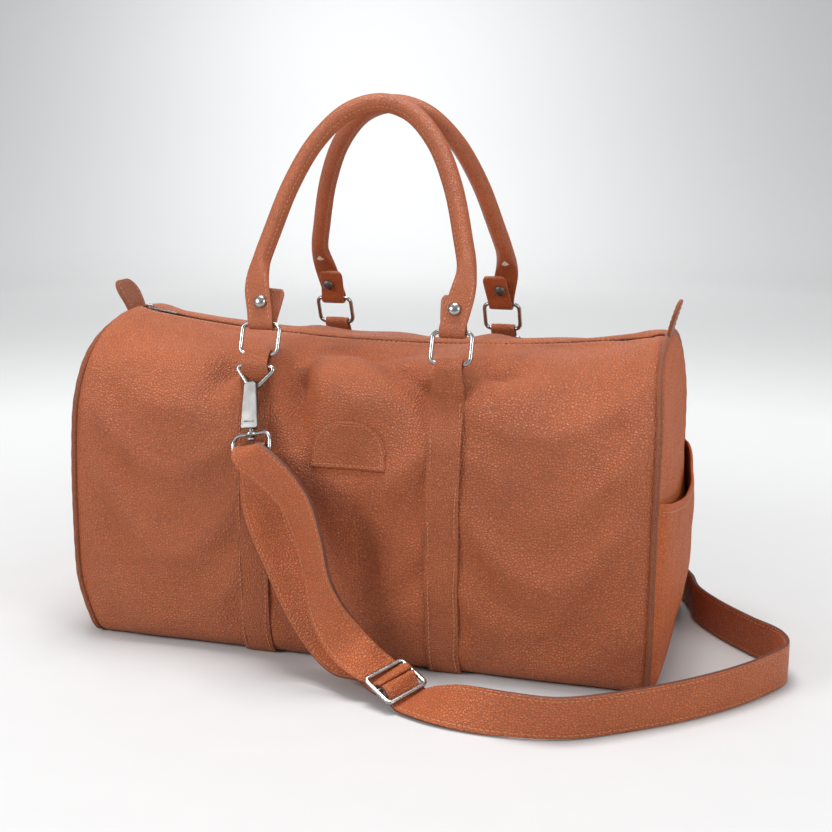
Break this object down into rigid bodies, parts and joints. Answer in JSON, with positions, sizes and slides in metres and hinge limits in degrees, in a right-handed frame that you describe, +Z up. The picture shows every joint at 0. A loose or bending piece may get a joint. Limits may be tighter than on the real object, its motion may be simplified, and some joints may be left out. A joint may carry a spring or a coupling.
{
  "type": "duffel bag",
  "caption": "Soft leather weekend duffel with zip top, rolled handles on metal rings, end pockets and a clip-on shoulder strap.",
  "frame": {"origin": "middle of the flat underside of the base", "axes": "+X along the bag towards its right end, -Y out of the front with the strap clip, +Z up"},
  "size_m": [0.6124, 0.364, 0.4574],
  "materials": {
    "leather": "pebbled cognac leather, semi-matt",
    "piping": "thin rolled leather edge, semi-matt",
    "nickel": "satin nickel plate",
    "zip_tape": "woven tape, dark",
    "lining": "plain woven cotton",
    "board": "stiff fibreboard",
    "core_cord": "twisted cotton rope"
  },
  "bodies": {
    "bag": {"front_panel": "leather", "back_panel": "leather", "base_panel": "leather", "end_panel_right": "leather", "end_pocket_right": "leather", "end_panel_left": "leather", "end_pocket_left": "leather", "zip_tab_right": "leather", "zip_tab_left": "leather", "front_patch": "leather", "band_front_left": "leather", "band_front_right": "leather", "band_back_left": "leather", "band_back_right": "leather", "strap_front": "leather", "strap_main": "leather", "strap_buckle": "nickel", "piping_right": "piping", "piping_left": "piping", "zip_end_right": "zip_tape", "zip_end_left": "zip_tape", "lining": "lining", "base_board": "board"},
    "mouth_front": {"mouth_flap_front": "leather", "zip_tape_front": "zip_tape", "zip_teeth_front": "nickel"},
    "mouth_back": {"mouth_flap_back": "leather", "zip_tape_back": "zip_tape", "zip_teeth_back": "nickel"},
    "zip_slider": {"zip_slider": "nickel"},
    "zip_pull": {"zip_pull": "nickel"},
    "ring_front_left": {"handle_ring_front_left": "nickel"},
    "ring_front_right": {"handle_ring_front_right": "nickel"},
    "ring_back_left": {"handle_ring_back_left": "nickel"},
    "ring_back_right": {"handle_ring_back_right": "nickel"},
    "handle_front": {"handle_front": "leather", "handle_core_front": "core_cord", "rivet_front_left": "nickel", "rivet_cap_front_left": "nickel", "rivet_front_right": "nickel", "rivet_cap_front_right": "nickel"},
    "handle_back": {"handle_back": "leather", "handle_core_back": "core_cord", "rivet_back_left": "nickel", "rivet_cap_back_left": "nickel", "rivet_back_right": "nickel", "rivet_cap_back_right": "nickel"},
    "strap_ring_front": {"strap_ring_front": "nickel"},
    "strap_ring_back": {"strap_ring_back": "nickel"},
    "clip_eye_front": {"hook_eye_front": "nickel"},
    "clip_eye_back": {"hook_eye_back": "nickel"},
    "hook_front": {"hook_front": "nickel"},
    "hook_back": {"hook_back": "nickel"},
    "gate_front": {"hook_gate_front": "nickel"},
    "gate_back": {"hook_gate_back": "nickel"}
  },
  "joints": [
    {"name": "ring_front_left_swing", "type": "hinge", "parent": "bag", "child": "ring_front_left", "pos_m": [-0.08, -0.095, 0.252], "axis": [1, 0, 0], "range_deg": [0, 95]},
    {"name": "ring_front_right_swing", "type": "hinge", "parent": "bag", "child": "ring_front_right", "pos_m": [0.08, -0.095, 0.252], "axis": [1, 0, 0], "range_deg": [0, 95]},
    {"name": "handle_front_tilt", "type": "hinge", "parent": "ring_front_left", "child": "handle_front", "pos_m": [0, -0.08604, 0.27534], "axis": [1, 0, 0], "range_deg": [-3, 15]},
    {"name": "mouth_front_open", "type": "hinge", "parent": "bag", "child": "mouth_front", "pos_m": [0, -0.074, 0.254], "axis": [1, 0, 0], "range_deg": [0, 45]},
    {"name": "ring_back_left_swing", "type": "hinge", "parent": "bag", "child": "ring_back_left", "pos_m": [-0.08, 0.095, 0.252], "axis": [-1, 0, 0], "range_deg": [0, 95]},
    {"name": "ring_back_right_swing", "type": "hinge", "parent": "bag", "child": "ring_back_right", "pos_m": [0.08, 0.095, 0.252], "axis": [-1, 0, 0], "range_deg": [0, 95]},
    {"name": "handle_back_tilt", "type": "hinge", "parent": "ring_back_left", "child": "handle_back", "pos_m": [0, 0.08604, 0.27534], "axis": [-1, 0, 0], "range_deg": [-3, 15]},
    {"name": "mouth_back_open", "type": "hinge", "parent": "bag", "child": "mouth_back", "pos_m": [0, 0.074, 0.254], "axis": [-1, 0, 0], "range_deg": [0, 45]},
    {"name": "zip_slider_travel", "type": "hinge", "parent": "bag", "child": "zip_slider", "pos_m": [0.02, 0, 1.904], "axis": [0, -1, 0], "range_deg": [0, 14.9]},
    {"name": "zip_pull_flip", "type": "hinge", "parent": "zip_slider", "child": "zip_pull", "pos_m": [-0.22586, 0, 0.27186], "axis": [0, -1, 0], "range_deg": [0, 110]},
    {"name": "clip_front_swing", "type": "hinge", "parent": "bag", "child": "clip_eye_front", "pos_m": [-0.0795, -0.101, 0.243], "axis": [-1, 0, 0], "range_deg": [0, 30], "deforming": ["strap_front"]},
    {"name": "strap_ring_front_swing", "type": "hinge", "parent": "bag", "child": "strap_ring_front", "pos_m": [-0.0795, -0.101, 0.243], "axis": [-1, 0, 0], "range_deg": [0, 30]},
    {"name": "hook_front_swivel", "type": "hinge", "parent": "clip_eye_front", "child": "hook_front", "pos_m": [-0.07487, -0.12449, 0.19269], "axis": [-0.1219, 0.4037, 0.9067], "range_deg": [-18, 18]},
    {"name": "gate_front_press", "type": "hinge", "parent": "hook_front", "child": "gate_front", "pos_m": [-0.077, -0.11332, 0.20673], "axis": [0.9925, 0.0496, 0.1113], "range_deg": [0, 13], "stiffness_Nm_per_rad": 0.03, "springref_deg": -17.19},
    {"name": "clip_back_swing", "type": "hinge", "parent": "bag", "child": "clip_eye_back", "pos_m": [0.0795, 0.101, 0.243], "axis": [1, 0, 0], "range_deg": [0, 30], "deforming": ["strap_main"]},
    {"name": "strap_ring_back_swing", "type": "hinge", "parent": "bag", "child": "strap_ring_back", "pos_m": [0.0795, 0.101, 0.243], "axis": [1, 0, 0], "range_deg": [0, 30]},
    {"name": "hook_back_swivel", "type": "hinge", "parent": "clip_eye_back", "child": "hook_back", "pos_m": [0.07487, 0.12449, 0.19269], "axis": [0.1219, -0.4037, 0.9067], "range_deg": [-18, 18]},
    {"name": "gate_back_press", "type": "hinge", "parent": "hook_back", "child": "gate_back", "pos_m": [0.077, 0.11332, 0.20673], "axis": [-0.9925, -0.0496, 0.1113], "range_deg": [0, 13], "stiffness_Nm_per_rad": 0.03, "springref_deg": -17.19}
  ],
  "couplings": [
    {"joint": "ring_front_right_swing", "follows": "ring_front_left_swing", "ratio": 1},
    {"joint": "ring_back_right_swing", "follows": "ring_back_left_swing", "ratio": 1},
    {"joint": "strap_ring_front_swing", "follows": "clip_front_swing", "ratio": 1},
    {"joint": "strap_ring_back_swing", "follows": "clip_back_swing", "ratio": 1}
  ]
}
